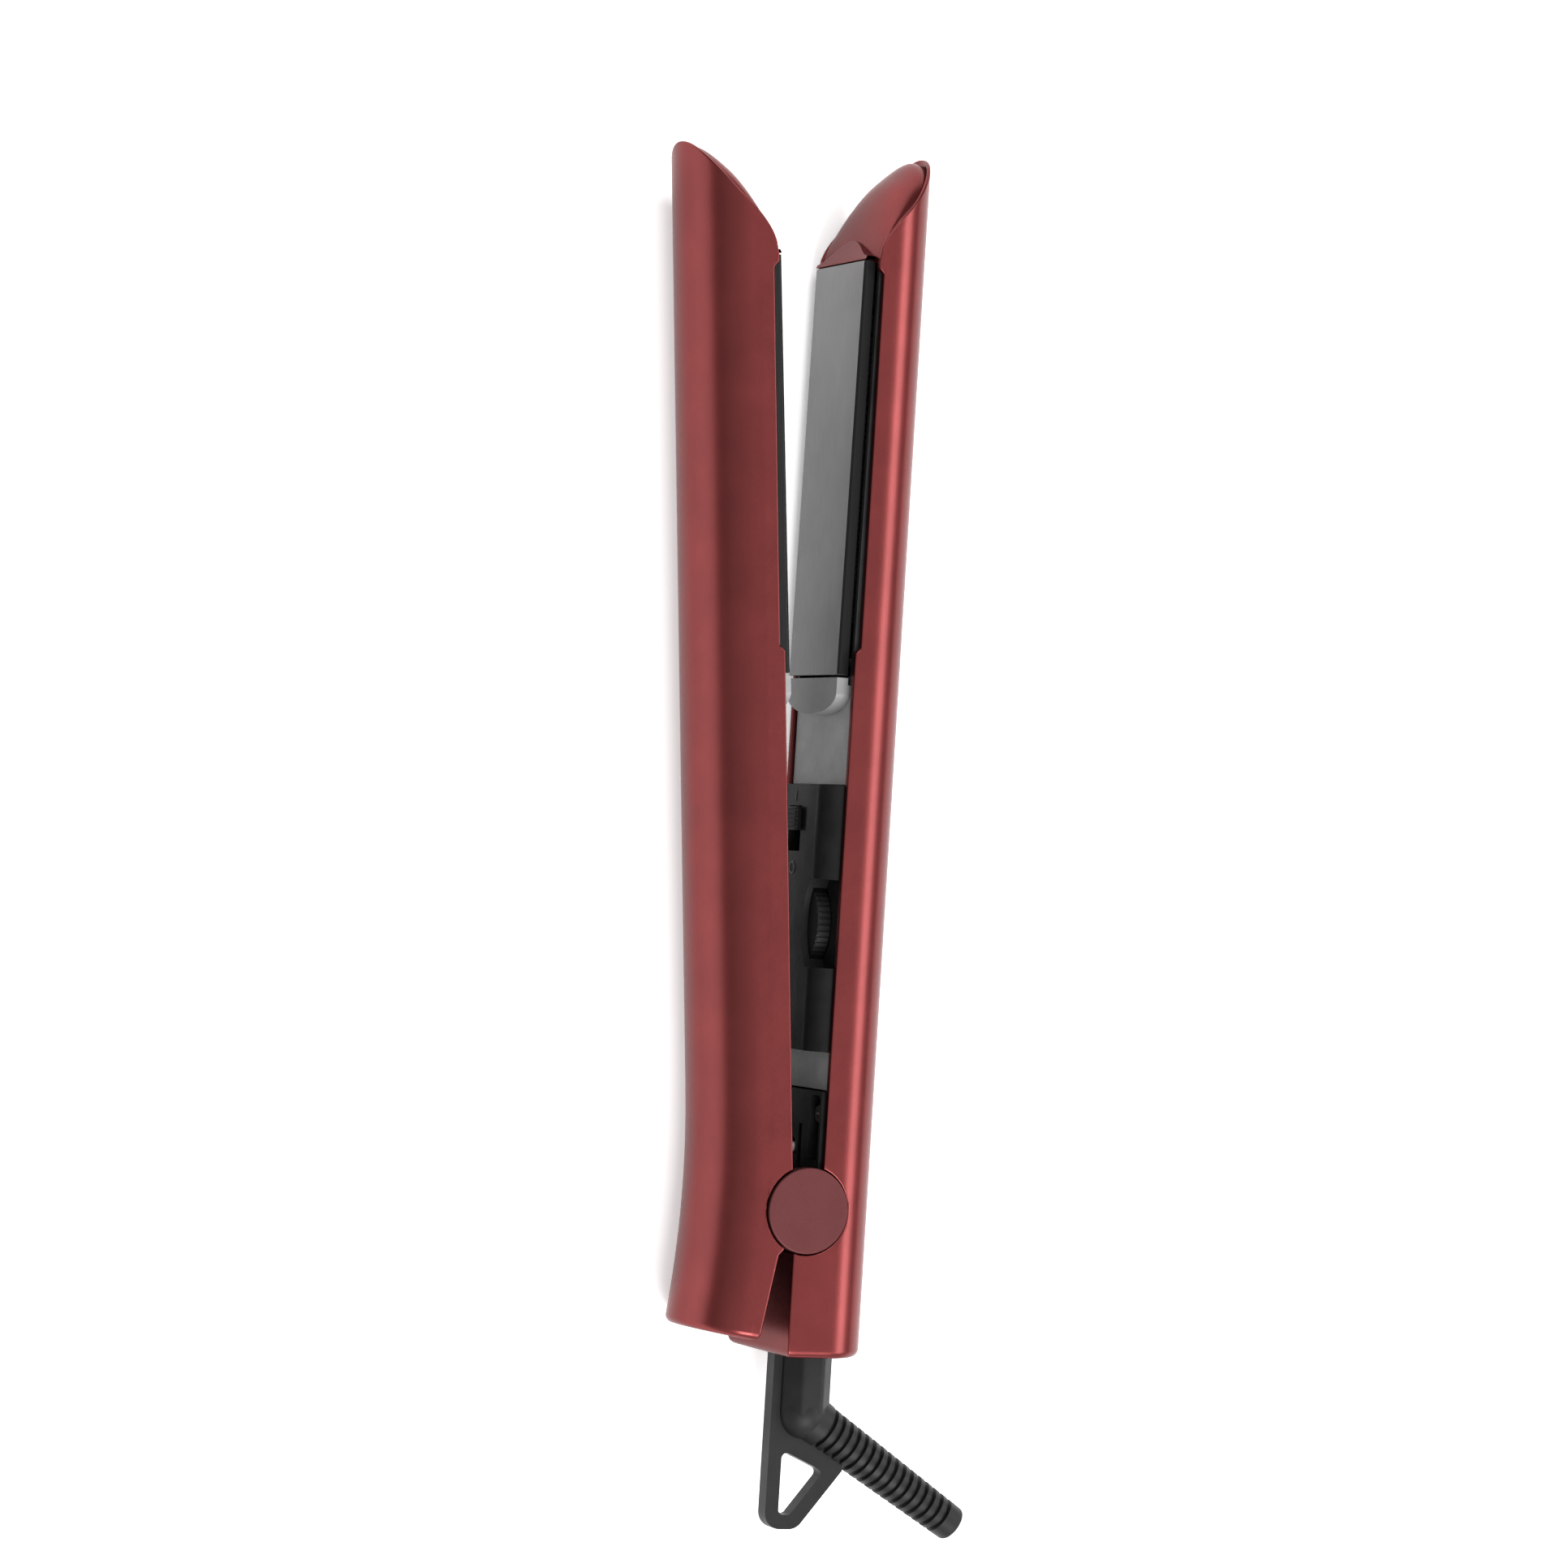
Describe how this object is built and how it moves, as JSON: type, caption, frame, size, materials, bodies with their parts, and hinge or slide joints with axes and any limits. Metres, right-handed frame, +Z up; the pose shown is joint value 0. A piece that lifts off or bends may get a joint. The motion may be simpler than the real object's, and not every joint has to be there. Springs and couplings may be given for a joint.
{
  "type": "flat iron",
  "caption": "Half-round hair straightener with hinged arms, floating heating plates, slide switch, thumbwheel and a swivelling cord boot with hang loop, lying on its side.",
  "frame": {"origin": "hinge axis where it meets the outer face of the lower hinge cap, which is also the plane the iron rests on when it lies on its side", "axes": "+X along the iron from the hinge to the nose midway between the open arms, +Y towards the plain arm, +Z up along the hinge axis"},
  "size_m": [0.3009, 0.0746, 0.0328],
  "materials": {
    "red_lacquer": "metallic deep red lacquer under gloss clear coat",
    "cap_red": "satin deep red lacquer",
    "plate_coating": "smooth satin grey ceramic coating on aluminium",
    "carrier_black": "moulded heat resistant black",
    "tab_grey": "fine moulded grey",
    "cover_grey": "fine moulded grey",
    "block_black": "fine moulded black",
    "wheel_black": "moulded black",
    "boot_rubber": "soft moulded black",
    "drum_black": "smooth moulded black",
    "contact_brass": "stamped",
    "ceramic_white": "fired ceramic",
    "spring_steel": "cold drawn",
    "bead_glass": "bead",
    "pin_steel": "ground",
    "screw_steel": "zinc plated",
    "washer_nylon": "natural nylon",
    "board_green": "solder mask",
    "pot_blue": "moulded",
    "switch_steel": "tinned",
    "fuse_steel": "drawn",
    "silicone_white": "silicone"
  },
  "bodies": {
    "control_arm": {"control_arm_shell": "red_lacquer", "control_nose_piece": "red_lacquer", "control_plate_carrier": "carrier_black", "control_plate_end_tab": "tab_grey", "control_front_cover": "cover_grey", "control_rear_cover": "cover_grey", "control_block": "block_black", "control_float_springs": "spring_steel", "control_hinge_bracket": "block_black", "control_bracket_screws": "screw_steel", "control_heater_leads": "silicone_white", "hinge_pin": "pin_steel", "pin_retaining_ring": "pin_steel", "thrust_washers": "washer_nylon", "hinge_cap_upper": "cap_red", "hinge_cap_lower": "cap_red", "return_spring": "spring_steel", "jumper_lead_sleeve": "silicone_white", "circuit_board": "board_green", "circuit_board_screws": "screw_steel", "potentiometer": "pot_blue", "slide_switch_body": "switch_steel", "thermal_fuse": "fuse_steel", "supply_leads": "silicone_white", "swivel_bush": "block_black", "contact_brushes": "contact_brass"},
    "plain_arm": {"plain_arm_shell": "red_lacquer", "plain_nose_piece": "red_lacquer", "plain_plate_carrier": "carrier_black", "plain_plate_end_tab": "tab_grey", "plain_inner_cover": "cover_grey", "plain_float_springs": "spring_steel", "plain_hinge_bracket": "block_black", "plain_bracket_screws": "screw_steel", "plain_heater_leads": "silicone_white"},
    "control_plate": {"control_heating_plate": "plate_coating", "control_heater": "ceramic_white", "control_heater_clip": "spring_steel", "control_thermistor": "bead_glass"},
    "plain_plate": {"plain_heating_plate": "plate_coating", "plain_heater": "ceramic_white", "plain_heater_clip": "spring_steel", "plain_thermistor": "bead_glass"},
    "power_slider": {"power_slider_knob": "block_black"},
    "thumbwheel": {"thumbwheel": "wheel_black"},
    "cord_swivel": {"cord_boot": "boot_rubber", "swivel_drum": "drum_black", "contact_rings": "contact_brass"}
  },
  "joints": [
    {"name": "jaw_hinge", "type": "hinge", "parent": "control_arm", "child": "plain_arm", "pos_m": [0, 0, 0.0164], "axis": [0, 0, -1], "range_deg": [0, 5.35], "stiffness_Nm_per_rad": 3, "springref_deg": -6.88, "deforming": ["return_spring", "jumper_lead_sleeve"]},
    {"name": "control_plate_float", "type": "slide", "parent": "control_arm", "child": "control_plate", "axis": [-0.048, -0.9988, 0], "range_m": [0, 0.0008], "stiffness_N_per_m": 6000, "springref_m": -0.001, "deforming": ["control_float_springs"]},
    {"name": "plain_plate_float", "type": "slide", "parent": "plain_arm", "child": "plain_plate", "axis": [-0.048, 0.9988, 0], "range_m": [0, 0.0008], "stiffness_N_per_m": 6000, "springref_m": -0.001, "deforming": ["plain_float_springs"]},
    {"name": "power_slide", "type": "slide", "parent": "control_arm", "child": "power_slider", "axis": [0.9991, -0.0419, 0], "range_m": [-0.0044, 0]},
    {"name": "thumbwheel_turn", "type": "hinge", "parent": "control_arm", "child": "thumbwheel", "pos_m": [0.06082, -0.00555, 0.0164], "axis": [-0.0419, -0.9991, 0], "range_deg": [-135, 135]},
    {"name": "cord_swivel", "type": "hinge", "parent": "control_arm", "child": "cord_swivel", "pos_m": [-0.03183, -0.00727, 0.0164], "axis": [-0.9991, 0.0419, 0], "continuous": true}
  ]
}
